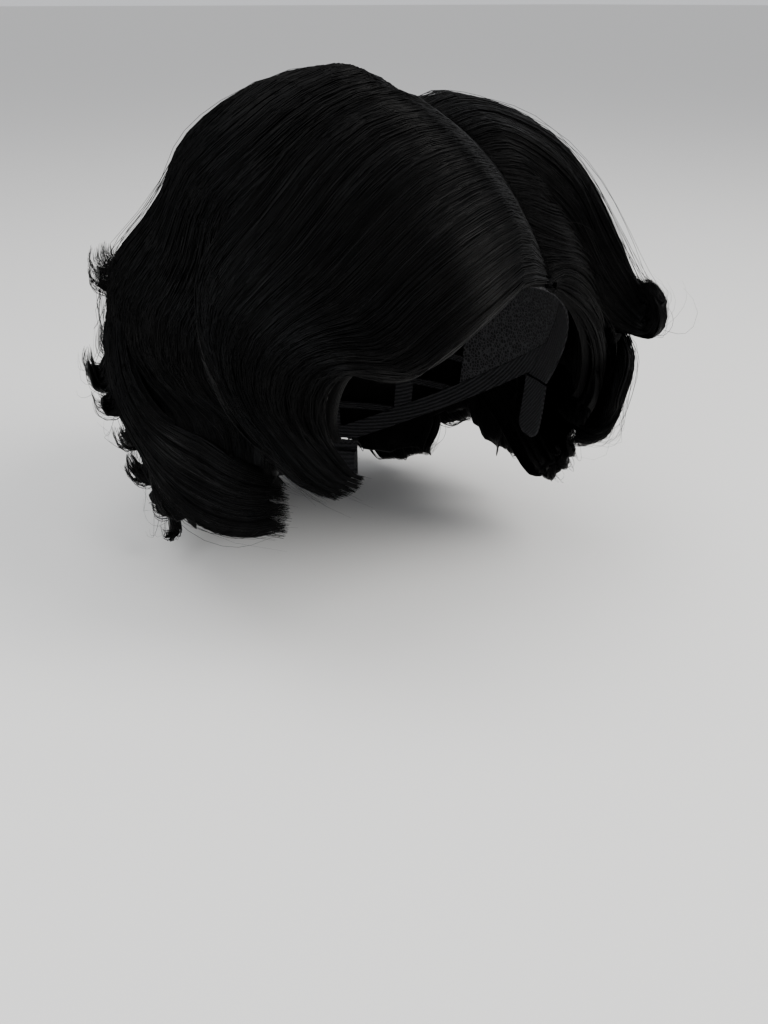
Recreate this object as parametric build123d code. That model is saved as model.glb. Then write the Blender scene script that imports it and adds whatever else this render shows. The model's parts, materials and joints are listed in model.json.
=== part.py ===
from build123d import *
import os
from math import cos, radians, sin, sqrt

# Costume wig: short, side-parted waves on a wefted open cap. Millimetres.
# Origin at the centre of the head's band line, +Z up, the face looks along -Y, the wearer's left is +X.

# Head form that the cap is cut for
HEAD = (77.0, 98.0, 105.0)           # half width, half length, height above the band line
FABRIC = 0.8                         # thickness of net, tape and ribbon
SEAM = 0.15                          # half of the gap left at each sewn seam
FAR = 400.0                          # reach of the cutting blocks, beyond every surface

# Edge lines of the cap, as (y, z) in the side view
FRONT_HAIRLINE = (-84.0, 49.0)
FRONT_TAB_CORNER = (-40.0, -8.0)
EAR_CORNER = (-24.0, -8.0)
NAPE_CORNER = (62.0, -58.0)
FRONT_BAND_WIDTH = 12.0
EDGE_TAPE_WIDTH = 8.0
CROWN_LEVEL = 52.0                   # the crown net ends here and the open back begins
BACK_LINE = 20.0                     # y where the side panels end

# Parting
PARTING_X = 24.0
PARTING_WIDTH = 26.0
PARTING_END = 25.0                   # y where the parting runs out on the crown

# Open back: vertical elastic ribbons that carry the wefts
RIBBON_WIDTH = 9.0
RIBBON_ANGLES = (-52, -26, 0, 26, 52)
WEFT_LIFT = 1.0                      # underside of a weft header above the head form
WEFT_THICKNESS = 1.6
WEFT_HEIGHT = 3.0
WEFT_LEVELS = (-45, -30, -15, 0, 15, 30, 45)

# Nape: an elastic band that follows the neck, with its adjusters inside it
NECK_Y = 30.0
BAND_RADIUS = 50.5
NAPE_BOTTOM = -76.0
NAPE_TOP = -58.3
NAPE_HALF_ANGLE = 55.0
NAPE_WEFT_LEVELS = (-74.0, -64.0)
STRAP_LEVEL = -67.0                  # mid height of the adjuster straps
STRAP_WIDTH = 8.0
STRAP_RADIUS = 46.8
STRAP_THICKNESS = 1.0
STRAP_ANCHOR = 52.0                  # degrees from the back of the neck
STRAP_FREE = 40.0
HOOK_PIVOT = 34.0
PIVOT_RADIUS = 47.3
HOOK_WIRE = 1.4
EYE_RADIUS = 1.35
HOOK_LENGTH = 6.6
LOOP_ANGLES = (3, 9, 15, 21, 27)
LOOP_BAR = 0.6

# Ear tabs
TAB_FRONT, TAB_BACK = -40.0, -23.0
TAB_TOP, TAB_BOTTOM = -9.0, -33.0
STAY_WIDTH = 5.0
STAY_THICKNESS = 0.6

# Hair: every lock starts just outside the wefts
HAIR_LIFT = 3.2
GAP = 0.2                            # half of the gap between neighbouring locks
FRINGE_OUTER = (91.0, 112.0, 119.0)
RIGHT_OUTER = (100.0, 118.0, 122.0)
LEFT_OUTER = (107.0, 118.0, 122.0)
FRINGE_BACK = -45.0
LEFT_SPLIT = -20.0
BACK_SPLIT = 25.0
UPPER_LEVEL = 25.0                   # foot of the swept top hair
MIDDLE_LEVEL = -9.5                  # foot of the side waves
TEMPLE_FRONT = -78.0
TEMPLE_BACK = -56.0
TEMPLE_FOOT = 5.0
SIDE_FACE_X = 48.0                   # the side hair keeps outside this, so the face stays open
FRINGE_EDGE = ((-35.0, 24.0), (24.0, 49.0))     # lower edge of the fringe, as (x, z) in the front view
LEFT_EDGE = ((24.0, 49.0), (60.0, 12.0))        # edge of the hair on the left temple, likewise

# Horizontal rolls: half width and half length of the roll's centre line, level, radius of the roll
UPPER_ROLL = (90.5, 110.5, -21.0, 11.0)
LOWER_ROLL = (85.0, 105.0, -44.0, 10.8)
NAPE_ROLL = (65.0, 65.0, -66.5, 10.4)
UPPER_ROLL_FRONT = {1: -43.0, -1: -50.0}
LOWER_ROLL_FRONT = {1: -25.0, -1: -35.0}

# Loose curls: centre, half sizes, turn about Z in degrees
CHEEK_FLIP = ((-68.0, -78.0, -6.5), (9.0, 22.0, 10.5), 12)
LEFT_FLIP = ((76.0, -83.0, 33.0), (13.0, 17.0, 11.0), 40)
LEFT_LOWER = ((76.0, -72.0, -3.0), (12.0, 16.0, 13.0), 35)
LEFT_NECK = ((70.0, -47.0, -43.0), (10.0, 14.0, 12.0), 25)


def ellipsoid(half, centre=(0, 0, 0)):
    return Pos(*centre) * scale(Sphere(1), by=half)


def lifted(lift):
    """Head form grown outwards by a lift."""
    return ellipsoid(tuple(side + lift for side in HEAD))


def shell(low, high):
    return lifted(high) - lifted(low)


def block(x=(-FAR, FAR), y=(-FAR, FAR), z=(-FAR, FAR)):
    """Box between limits on each axis."""
    size = [b - a for a, b in (x, y, z)]
    middle = [(a + b) / 2 for a, b in (x, y, z)]
    return Pos(*middle) * Box(*size)


def slope(start, end, low, high):
    """Slab beside a line drawn in the side view, from low to high on its upper and rear side."""
    run, rise = end[0] - start[0], end[1] - start[1]
    length = sqrt(run * run + rise * rise)
    plane = Plane(origin=(0, start[0], start[1]), x_dir=(1, 0, 0), z_dir=(0, -rise / length, run / length))
    thick = min(high, FAR) - low
    return plane * (Pos(0, 0, low + thick / 2) * Box(2 * FAR, 2 * FAR, thick))


def front(low, high=FAR):
    return slope(FRONT_HAIRLINE, FRONT_TAB_CORNER, low, high)


def bottom(low, high=FAR):
    return slope(EAR_CORNER, NAPE_CORNER, low, high)


def one_side(side, near=0.0):
    """Everything on the wearer's left (side 1) or right (side -1)."""
    return block(x=(near, FAR)) if side > 0 else block(x=(-FAR, -near))


def arc_wall(inner, thickness, start, end, low, high):
    """Wall round the neck axis, between two angles from the back of the neck towards the left."""
    ring = Cylinder(inner + thickness, high - low) - Cylinder(inner, high - low)
    centre, spread = radians((start + end) / 2), (end - start) / 2
    reach = 3 * inner
    left = (-reach * sin(radians(spread)), reach * cos(radians(spread)))
    right = (-left[0], left[1])
    wedge = extrude(make_face(Polyline((0, 0), left, right, close=True)), high - low, both=True)
    turned = Rot(0, 0, -(start + end) / 2) * wedge
    return Pos(0, NECK_Y, (low + high) / 2) * (ring & turned)


def neck_frame(angle, radius, level):
    """Frame on the nape: X runs along the band towards the middle, Y outwards, Z up."""
    a = radians(angle)
    outward = (sin(a), cos(a), 0)
    origin = (radius * outward[0], NECK_Y + radius * outward[1], level)
    return Plane(origin=origin, x_dir=(-cos(a), sin(a), 0), z_dir=(0, 0, -1))


def write(name, shape):
    export_step(shape, f"parts/{name}.step")


def write_pair(name, left):
    """Write a piece for the wearer's left, and its mirror image for the right."""
    write(f"left_{name}", left)
    write(f"right_{name}", mirror(left, about=Plane.YZ))


def cap_panels():
    skin = shell(0, FABRIC)
    behind = front(FRONT_BAND_WIDTH + SEAM)
    strip = block(x=(PARTING_X - PARTING_WIDTH / 2, PARTING_X + PARTING_WIDTH / 2), y=(-FAR, PARTING_END))
    around = block(
        x=(PARTING_X - PARTING_WIDTH / 2 - SEAM, PARTING_X + PARTING_WIDTH / 2 + SEAM),
        y=(-FAR, PARTING_END + SEAM),
    )
    above = block(z=(CROWN_LEVEL + SEAM, FAR))
    below = block(z=(NAPE_TOP + 2 * SEAM, CROWN_LEVEL - SEAM))
    band = front(0, FRONT_BAND_WIDTH - SEAM) & block(z=(FRONT_TAB_CORNER[1], FAR))
    write("front_band", (lifted(FABRIC) & band) - lifted(0))
    crown = skin & behind & above
    write("parting_skin", crown & strip)
    write("crown_net", crown - around)
    sides = skin & behind & below
    panel = sides & block(y=(-FAR, BACK_LINE)) & bottom(EDGE_TAPE_WIDTH + SEAM)
    write_pair("side_panel", panel & one_side(1))
    tape = sides & bottom(0, EDGE_TAPE_WIDTH - SEAM)
    write_pair("ear_edge_tape", tape & one_side(1, near=RIBBON_WIDTH))
    return skin


def back_ribbons(skin):
    """Ribbons from the crown net down to the edge tape, or to the nape band in the middle."""
    reach = block(y=(BACK_LINE + SEAM, FAR), z=(NAPE_TOP + 2 * SEAM, CROWN_LEVEL - SEAM))
    back = skin & reach & bottom(EDGE_TAPE_WIDTH + SEAM)
    for number, angle in enumerate(RIBBON_ANGLES, start=1):
        strip = Rot(0, 0, -angle) * block(x=(-RIBBON_WIDTH / 2, RIBBON_WIDTH / 2), y=(0, FAR))
        write(f"back_ribbon_{number}", back & strip)


def weft_tracks():
    """Sewn weft headers: one row above another, round the back and sides."""
    layer = shell(WEFT_LIFT, WEFT_LIFT + WEFT_THICKNESS) & front(FRONT_BAND_WIDTH + 2) & bottom(1)
    for number, level in enumerate(WEFT_LEVELS, start=1):
        write(f"weft_track_{number}", layer & block(z=(level, level + WEFT_HEIGHT)))
    outside = BAND_RADIUS + FABRIC + SEAM
    for name, level in zip(("lower", "upper"), NAPE_WEFT_LEVELS):
        row = arc_wall(outside, WEFT_THICKNESS, -NAPE_HALF_ANGLE + 2, NAPE_HALF_ANGLE - 2, level, level + WEFT_HEIGHT)
        write(f"nape_weft_{name}", row)


def nape_band():
    write("nape_band", arc_wall(BAND_RADIUS, FABRIC, -NAPE_HALF_ANGLE, NAPE_HALF_ANGLE, NAPE_BOTTOM, NAPE_TOP))


def loop_tape():
    """Tape on the band's inner face with a row of bar loops for the hook."""
    low, high = STRAP_LEVEL - STRAP_WIDTH / 2, STRAP_LEVEL + STRAP_WIDTH / 2
    tape_inner = BAND_RADIUS - FABRIC
    tape = arc_wall(tape_inner, FABRIC - 0.1, 1, HOOK_PIVOT - 4, low, high)
    for angle in LOOP_ANGLES:
        frame = neck_frame(angle, tape_inner, STRAP_LEVEL)
        bar = frame * (Pos(0, -LOOP_BAR, 0) * Box(LOOP_BAR, LOOP_BAR / 2, STRAP_WIDTH))
        posts = [frame * (Pos(0, -LOOP_BAR / 2, end) * Box(LOOP_BAR, 1.5 * LOOP_BAR, LOOP_BAR))
                 for end in (-STRAP_WIDTH / 2 + LOOP_BAR / 2, STRAP_WIDTH / 2 - LOOP_BAR / 2)]
        tape = tape + bar + posts[0] + posts[1]
    write_pair("loop_tape", tape)


def adjuster_strap():
    """Elastic strap, folded thick where it is sewn to the band's end."""
    low, high = STRAP_LEVEL - STRAP_WIDTH / 2, STRAP_LEVEL + STRAP_WIDTH / 2
    strap = arc_wall(STRAP_RADIUS, STRAP_THICKNESS, STRAP_FREE + 0.4, STRAP_ANCHOR, low, high)
    patch_thickness = BAND_RADIUS - 0.1 - STRAP_RADIUS
    patch = arc_wall(STRAP_RADIUS, patch_thickness, STRAP_ANCHOR - 0.1, NAPE_HALF_ANGLE, low, high)
    write_pair("adjuster_strap", strap + patch)


def strap_end():
    """End of the strap, folded round the hook's bar and stitched."""
    eye_height = STRAP_WIDTH - 2
    low, high = STRAP_LEVEL - eye_height / 2, STRAP_LEVEL + eye_height / 2
    fold = arc_wall(STRAP_RADIUS, STRAP_THICKNESS, HOOK_PIVOT + 1.35, STRAP_FREE, low, high)
    place = neck_frame(HOOK_PIVOT, PIVOT_RADIUS, STRAP_LEVEL)
    eye = place * Cylinder(EYE_RADIUS, eye_height)
    hole = place * Cylinder(HOOK_WIRE / 2 + 0.2, STRAP_WIDTH)
    write_pair("strap_end", fold + eye - hole)


def adjuster_hook():
    """Moulded hook: a bar through the strap's eye, two arms and a plate with a turned tip."""
    place = neck_frame(HOOK_PIVOT, PIVOT_RADIUS, STRAP_LEVEL)
    height = STRAP_WIDTH + 1
    arm_height = (height - (STRAP_WIDTH - 2)) / 2 - 0.3
    bar = Cylinder(HOOK_WIRE / 2, height)
    arms = [Pos(1.6, 0, end * (height - arm_height) / 2) * Box(4.4, HOOK_WIRE * 0.7, arm_height) for end in (-1, 1)]
    plate = Pos((3.0 + HOOK_LENGTH) / 2 + 0.2, 0, 0) * Box(HOOK_LENGTH - 3.0, HOOK_WIRE * 0.7, height)
    plate = fillet(plate.edges().filter_by(Axis.Y).sort_by(Axis.X)[-2:], 2.0)
    tip = Pos(HOOK_LENGTH - 0.2, HOOK_WIRE / 2 - 0.1, 0) * Box(0.8, 0.4, STRAP_WIDTH / 2)
    write_pair("adjuster_hook", place * (bar + arms[0] + arms[1] + plate + tip))


def ear_tab():
    """Rounded tab in front of the ear, with a springy stay in a pocket on its outside."""
    width, height = TAB_BACK - TAB_FRONT, TAB_TOP - TAB_BOTTOM
    centre = (90, (TAB_FRONT + TAB_BACK) / 2, (TAB_TOP + TAB_BOTTOM) / 2)
    prism = Box(60, width, height)
    prism = fillet(prism.edges().filter_by(Axis.X).sort_by(Axis.Z)[:2], 6.0)
    write_pair("ear_tab", shell(0, FABRIC) & (Pos(*centre) * prism))
    stay = fillet(Box(60, STAY_WIDTH, height - 6).edges().filter_by(Axis.X), 2.0)
    low = FABRIC + 0.05
    write_pair("ear_tab_stay", shell(low, low + STAY_THICKNESS) & (Pos(*centre) * stay))


def curl(shape, grow=0.0):
    centre, half, turn = shape
    return Pos(*centre) * Rot(0, 0, turn) * scale(Sphere(1), by=tuple(side + grow for side in half))


def loose_curls():
    write("right_cheek_flip", curl(CHEEK_FLIP))
    write("left_flip_curl", curl(LEFT_FLIP))
    write("left_lower_curl", curl(LEFT_LOWER))
    write("left_neck_curl", curl(LEFT_NECK))


def above_edge(edge):
    """Everything above a line drawn in the front view."""
    (x0, z0), (x1, z1) = edge
    run, rise = x1 - x0, z1 - z0
    plane = Plane(origin=(x0, 0, z0), x_dir=(0, 1, 0), z_dir=(-rise, 0, run))
    return plane * (Pos(0, 0, FAR / 2) * Box(2 * FAR, 2 * FAR, FAR))


def swept_top(roots):
    """Top hair, swept away from the parting to both sides and back over the crown."""
    upper = (UPPER_LEVEL + GAP, FAR)
    right = (-FAR, PARTING_X - GAP)
    left = (PARTING_X + GAP, FAR)
    crown_run = (FRINGE_BACK + GAP, BACK_SPLIT - GAP)
    fringe = ellipsoid(FRINGE_OUTER) - roots
    fringe = fringe & block(x=right, y=(-FAR, FRINGE_BACK - GAP), z=(UPPER_LEVEL + GAP, FAR))
    write("fringe_sweep", fringe & above_edge(FRINGE_EDGE))
    right_hair = ellipsoid(RIGHT_OUTER) - roots
    left_hair = ellipsoid(LEFT_OUTER) - roots
    write("right_crown_sweep", right_hair & block(x=right, y=crown_run, z=upper))
    front_sweep = left_hair & block(x=left, y=(-FAR, LEFT_SPLIT - GAP), z=upper) & above_edge(LEFT_EDGE)
    write("left_front_sweep", front_sweep - curl(LEFT_FLIP, grow=2 * GAP))
    write("left_crown_sweep", left_hair & block(x=left, y=(LEFT_SPLIT + GAP, BACK_SPLIT - GAP), z=upper))
    write("back_crown", right_hair & block(y=(BACK_SPLIT + GAP, FAR), z=upper))
    return right_hair, left_hair


def side_waves(right_hair, left_hair):
    """Waves from the temples round to the back, below the swept top."""
    middle = (MIDDLE_LEVEL, UPPER_LEVEL - GAP)
    wave_run = (TEMPLE_BACK + GAP, LEFT_SPLIT - GAP)
    fall_run = (LEFT_SPLIT + GAP, BACK_SPLIT - GAP)
    temple = block(x=(-FAR, -SIDE_FACE_X), y=(TEMPLE_FRONT, TEMPLE_BACK - GAP), z=(TEMPLE_FOOT, UPPER_LEVEL - GAP))
    write("right_temple_wave", right_hair & temple)
    write("right_side_wave", right_hair & block(x=(-FAR, -SIDE_FACE_X), y=wave_run, z=middle))
    wave = left_hair & block(x=(SIDE_FACE_X, FAR), y=(TEMPLE_FRONT, LEFT_SPLIT - GAP), z=middle)
    write("left_side_wave", wave - curl(LEFT_FLIP, grow=2 * GAP) - curl(LEFT_LOWER, grow=2 * GAP))
    write("right_side_fall", right_hair & block(x=(-FAR, -GAP), y=fall_run, z=middle))
    write("left_side_fall", left_hair & block(x=(GAP, FAR), y=fall_run, z=middle))
    write("right_back_wave", right_hair & block(x=(-FAR, -GAP), y=(BACK_SPLIT + GAP, FAR), z=middle))
    write("left_back_wave", right_hair & block(x=(GAP, FAR), y=(BACK_SPLIT + GAP, FAR), z=middle))


def roll(size, y_centre=0.0):
    """Full ring of rolled hair round the head."""
    half_width, half_length, level, radius = size
    mean = (half_width + half_length) / 2
    ring = scale(Torus(mean, radius), by=(half_width / mean, half_length / mean, 1.0))
    return Pos(0, y_centre, level) * ring


def rolls():
    upper, lower, nape = roll(UPPER_ROLL), roll(LOWER_ROLL), roll(NAPE_ROLL, NECK_Y)
    for side, name in ((1, "left"), (-1, "right")):
        half = one_side(side, near=GAP)
        side_run = block(y=(UPPER_ROLL_FRONT[side], BACK_SPLIT - GAP))
        write(f"{name}_side_roll", upper & half & side_run)
        write(f"{name}_back_roll", upper & half & block(y=(BACK_SPLIT + GAP, FAR)))
        write(f"{name}_lower_roll", lower & half & block(y=(LOWER_ROLL_FRONT[side], BACK_SPLIT + 2 * GAP)))
        write(f"{name}_nape_roll", nape & half & block(y=(NECK_Y + 8, FAR)))
    write("back_lower_roll", lower & block(y=(BACK_SPLIT + 4 * GAP, FAR)))


def main():
    os.makedirs("parts", exist_ok=True)
    skin = cap_panels()
    back_ribbons(skin)
    weft_tracks()
    nape_band()
    loop_tape()
    adjuster_strap()
    strap_end()
    adjuster_hook()
    ear_tab()
    loose_curls()
    right_hair, left_hair = swept_top(lifted(HAIR_LIFT))
    side_waves(right_hair, left_hair)
    rolls()


main()
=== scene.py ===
import json
import math

import bmesh
import bpy
import numpy as np
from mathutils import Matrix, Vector

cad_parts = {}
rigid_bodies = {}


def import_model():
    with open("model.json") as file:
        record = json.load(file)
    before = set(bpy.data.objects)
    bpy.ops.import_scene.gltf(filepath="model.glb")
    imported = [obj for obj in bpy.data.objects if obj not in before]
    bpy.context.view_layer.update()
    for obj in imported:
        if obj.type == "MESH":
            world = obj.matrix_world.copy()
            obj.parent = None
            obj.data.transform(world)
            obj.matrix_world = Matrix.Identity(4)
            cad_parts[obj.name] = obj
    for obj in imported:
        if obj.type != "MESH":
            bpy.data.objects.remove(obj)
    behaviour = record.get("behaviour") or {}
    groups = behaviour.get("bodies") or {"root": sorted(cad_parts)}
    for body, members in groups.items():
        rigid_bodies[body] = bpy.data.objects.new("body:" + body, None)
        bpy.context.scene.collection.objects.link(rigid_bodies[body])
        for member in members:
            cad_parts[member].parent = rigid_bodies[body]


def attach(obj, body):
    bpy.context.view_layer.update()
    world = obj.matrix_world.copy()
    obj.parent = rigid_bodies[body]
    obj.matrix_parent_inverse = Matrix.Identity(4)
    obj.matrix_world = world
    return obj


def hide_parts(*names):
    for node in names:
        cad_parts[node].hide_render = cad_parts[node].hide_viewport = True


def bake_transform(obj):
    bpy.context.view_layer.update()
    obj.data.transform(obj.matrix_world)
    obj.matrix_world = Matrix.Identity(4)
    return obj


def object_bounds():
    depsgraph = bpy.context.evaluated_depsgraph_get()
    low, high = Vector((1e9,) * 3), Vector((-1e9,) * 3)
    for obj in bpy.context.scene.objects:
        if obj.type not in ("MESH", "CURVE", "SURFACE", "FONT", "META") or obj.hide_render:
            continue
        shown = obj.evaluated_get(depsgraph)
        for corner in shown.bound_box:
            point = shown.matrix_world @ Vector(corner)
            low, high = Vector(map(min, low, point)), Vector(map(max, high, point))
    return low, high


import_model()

CAD_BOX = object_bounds()
MM = 0.001

# ---------------------------------------------------------------------------
# Camera, light and floor
# ---------------------------------------------------------------------------
CAMERA_AT = Vector((-0.24524, -0.35820, 0.13894))
CAMERA_AIM = Vector((-0.00445, -0.02678, -0.05208))
LENS = 38.67


def make_camera():
    data = bpy.data.cameras.new("camera")
    data.lens = LENS
    data.clip_start = 0.01
    camera = bpy.data.objects.new("camera", data)
    bpy.context.scene.collection.objects.link(camera)
    camera.location = CAMERA_AT
    camera.rotation_mode = "QUATERNION"
    camera.rotation_quaternion = (CAMERA_AIM - CAMERA_AT).to_track_quat("-Z", "Y")
    bpy.context.scene.camera = camera


def softbox(name, place, aim, size, power, tint=(1.0, 1.0, 1.0)):
    light = bpy.data.lights.new(name, "AREA")
    light.shape = "RECTANGLE"
    light.size, light.size_y = size
    light.energy = power
    light.color = tint
    lamp = bpy.data.objects.new(name, light)
    bpy.context.scene.collection.objects.link(lamp)
    lamp.location = place
    lamp.rotation_mode = "QUATERNION"
    lamp.rotation_quaternion = (Vector(aim) - Vector(place)).to_track_quat("-Z", "Y")


def make_lights():
    world = bpy.data.worlds.new("studio")
    bpy.context.scene.world = world
    world.use_nodes = True
    sky = world.node_tree.nodes["Background"]
    sky.inputs["Color"].default_value = (0.87, 0.88, 0.91, 1.0)
    sky.inputs["Strength"].default_value = 0.85
    softbox("window", (0.55, -0.75, 0.85), (0, 0, 0.03), (0.7, 0.9), 18.0, (1.0, 0.98, 0.95))
    softbox("ceiling", (-0.25, 0.1, 1.1), (0, 0, 0.05), (1.0, 1.0), 9.0)
    softbox("side_fill", (-1.0, -0.3, 0.45), (0, 0, 0.0), (0.6, 0.8), 5.0, (0.92, 0.96, 1.0))


# ---------------------------------------------------------------------------
# Shader maths: a small wrapper round sockets, and one method that makes nodes
# ---------------------------------------------------------------------------
class Paint:
    """A value inside one material's node tree."""

    def __init__(self, tree, socket):
        self.tree, self.socket = tree, socket

    def node(self, kind, settings=None, output=0, **values):
        """Adds a node: its settings first, then its sockets, by name or as i0, i1 by place."""
        made = self.tree.nodes.new(kind)
        for key, value in (settings or {}).items():
            if key == "stops":
                ramp = made.color_ramp
                while len(ramp.elements) < len(value):
                    ramp.elements.new(0.5)
                for element, (place, colour) in zip(ramp.elements, value):
                    element.position, element.color = place, colour
            else:
                setattr(made, key, value)
        for key, value in values.items():
            numbered = key[0] == "i" and key[1:].isdigit()
            socket = made.inputs[int(key[1:]) if numbered else key.replace("_", " ")]
            if isinstance(value, Paint):
                self.tree.links.new(value.socket, socket)
            else:
                socket.default_value = value
        return Paint(self.tree, made.outputs[output])

    def maths(self, operation, first, second=0.0):
        return self.node("ShaderNodeMath", {"operation": operation}, i0=first, i1=second)

    def __add__(self, other):
        return self.maths("ADD", self, other)

    __radd__ = __add__

    def __mul__(self, other):
        return self.maths("MULTIPLY", self, other)

    __rmul__ = __mul__

    def __sub__(self, other):
        return self.maths("SUBTRACT", self, other)

    def __rsub__(self, other):
        return self.maths("SUBTRACT", other, self)


def finish_named(name, colour, roughness, specular=0.5):
    """A Principled material with its constant sockets set, and a Paint to build on."""
    material = bpy.data.materials.new(name)
    material.use_nodes = True
    tree = material.node_tree
    shader = tree.nodes["Principled BSDF"]
    shader.inputs["Base Color"].default_value = (*colour, 1.0)
    shader.inputs["Roughness"].default_value = roughness
    shader.inputs["Specular IOR Level"].default_value = specular
    place = tree.nodes.new("ShaderNodeTexCoord")
    return material, shader, Paint(tree, place.outputs["Object"]), Paint(tree, place.outputs["UV"])


def connect(shader, socket, paint):
    paint.tree.links.new(paint.socket, shader.inputs[socket])


def stretched(place, scale):
    return place.node("ShaderNodeMapping", {}, Vector=place, Scale=scale)


def noise(place, scale, detail=3.0, roughness=0.5):
    return place.node("ShaderNodeTexNoise", {}, Vector=place, Scale=scale, Detail=detail, Roughness=roughness)


def ramp(value, *stops):
    colours = [(place, (*colour, 1.0)) for place, colour in stops]
    return value.node("ShaderNodeValToRGB", {"stops": colours}, Fac=value)


def bumped(shader, height, strength, distance):
    made = height.node("ShaderNodeBump", {}, Height=height, Strength=strength, Distance=distance)
    connect(shader, "Normal", made)


HAIR_BASE = (0.001, 0.001, 0.001)
HAIR_DARK_TONE_AND_GROOVE_SHADE = (0.0004, 0.0004, 0.0005)         # the darkest colour: a random dark tone on loose strands, and painted shade in the grooves between combed strands


def fibre_finish():
    """Loose strands: near black, with a faint change of tone and gloss from strand to strand."""
    material, shader, place, _ = finish_named("hair_strands", HAIR_BASE, 0.34, 0.08)
    tone = noise(place, 90.0, 4.0)
    connect(shader, "Base Color", ramp(tone, (0.30, HAIR_DARK_TONE_AND_GROOVE_SHADE), (0.75, (0.0022, 0.0021, 0.0021))))
    connect(shader, "Roughness", noise(place, 45.0, 2.0) * 0.18 + 0.24)
    return material


def combed_finish():
    """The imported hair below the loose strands: fine streaks from root to tip along the piece's own map."""
    material, shader, place, flat = finish_named("hair_combed", HAIR_BASE, 0.38, 0.055)
    fine = noise(stretched(flat, (330.0, 3.0, 1.0)), 1.0, 4.0, 0.7)
    broad = noise(stretched(flat, (60.0, 1.5, 1.0)), 1.0, 3.0)
    streak = fine * 0.65 + broad * 0.35
    # Colour follows the streaks' height: painted shade in the grooves between strands, a little lighter on their ridges
    connect(shader, "Base Color", ramp(streak, (0.32, HAIR_DARK_TONE_AND_GROOVE_SHADE), (0.72, (0.0020, 0.0019, 0.0020))))
    connect(shader, "Roughness", streak * 0.25 + 0.24)
    bumped(shader, streak, 0.85, 0.0012)
    return material


def net_finish():
    """Knotted cap net: a fine diagonal mesh."""
    material, shader, place, _ = finish_named("cap_net", (0.02, 0.02, 0.022), 0.75, 0.3)
    grid = place.node("ShaderNodeTexVoronoi", {"feature": "DISTANCE_TO_EDGE"}, Vector=place, Scale=650.0)
    thread = ramp(grid, (0.05, (0.050, 0.050, 0.054)), (0.16, (0.006, 0.006, 0.007)))
    connect(shader, "Base Color", thread)
    connect(shader, "Roughness", noise(place, 300.0) * 0.3 + 0.6)
    bumped(shader, 1.0 - grid, 0.6, 0.0004)
    return material


def tape_finish(name, pitch, dark, light):
    """Woven or ribbed tape: raised ribs across it, with a little fuzz."""
    material, shader, place, _ = finish_named(name, light, 0.8, 0.25)
    ribs = place.node("ShaderNodeTexWave", {"bands_direction": "DIAGONAL"}, Vector=place, Scale=pitch,
                      Distortion=1.5, Detail=2.0, Detail_Scale=3.0)
    fuzz = noise(place, 900.0, 3.0)
    cloth = ribs * 0.6 + fuzz * 0.4
    # Colour follows the ribs' height: painted shade in the hollows between ribs, lighter on their tops, with random
    # fuzz over it
    connect(shader, "Base Color", ramp(cloth, (0.25, dark), (0.8, light)))
    connect(shader, "Roughness", cloth * 0.2 + 0.65)
    bumped(shader, cloth, 0.7, 0.0005)
    return material


def moulded_finish(name, colour):
    """Moulded plastic with a fine spark texture and slight handling shine."""
    material, shader, place, _ = finish_named(name, colour, 0.45, 0.45)
    grain = noise(place, 1500.0, 2.0)
    wear = noise(place, 70.0, 3.0)
    connect(shader, "Roughness", grain * 0.12 + wear * 0.2 + 0.28)
    bumped(shader, grain, 0.25, 0.0002)
    return material


def skin_finish():
    """Thin parting skin with rows of hair pores."""
    material, shader, place, _ = finish_named("parting_skin", (0.05, 0.04, 0.035), 0.6, 0.35)
    pores = place.node("ShaderNodeTexVoronoi", {"feature": "F1"}, Vector=place, Scale=520.0)
    tone = noise(place, 60.0, 3.0)
    pored = ramp(pores * 0.7 + tone * 0.3, (0.12, (0.008, 0.007, 0.007)), (0.45, (0.055, 0.044, 0.038)))
    connect(shader, "Base Color", pored)
    connect(shader, "Roughness", tone * 0.2 + 0.5)
    bumped(shader, pores, 0.4, 0.0004)
    return material


# ---------------------------------------------------------------------------
# The head form, and places on it
# ---------------------------------------------------------------------------
HEAD = np.array([77.0, 98.0, 105.0]) * MM     # half width, half length and height that the cap is cut for
PARTING_X = 24.0 * MM
PARTING_FRONT, PARTING_RUN = -0.83, 1.09      # from the hairline to the crown, as shares of the half length
ROOT_LIFT = 3.2                               # mm from the head form to the hair's roots


def heading(turn, rise):
    """Unit vector for a turn and a rise in degrees."""
    a, e = math.radians(turn), math.radians(rise)
    return np.array([math.sin(a) * math.cos(e), -math.cos(a) * math.cos(e), math.sin(e)])


def on_head(turn, rise, lift):
    """Place on the head form, in metres.

    Turn goes from the front towards the wearer's left, and rise is above the band line, both in degrees. Lift is in mm.
    """
    foot = HEAD * heading(turn, rise)
    normal = foot / HEAD**2
    return foot + normal / np.linalg.norm(normal) * lift * MM


def parting(share, lift=ROOT_LIFT):
    """Turn, rise and lift of a root on the parting, from its front at share 0 to the crown at 1."""
    x, y = PARTING_X / HEAD[0], PARTING_FRONT + PARTING_RUN * share
    z = math.sqrt(max(0.0, 1 - x * x - y * y))
    return math.degrees(math.atan2(x, -y)), math.degrees(math.asin(z)), lift


def between(first, last, share, lift):
    """Turn, rise and lift of a place part way between two others."""
    mix = sum(weight * heading(*place[:2]) for weight, place in ((1 - share, first), (share, last)))
    mix /= np.linalg.norm(mix)
    return math.degrees(math.atan2(mix[0], -mix[1])), math.degrees(math.asin(mix[2])), lift


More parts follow.
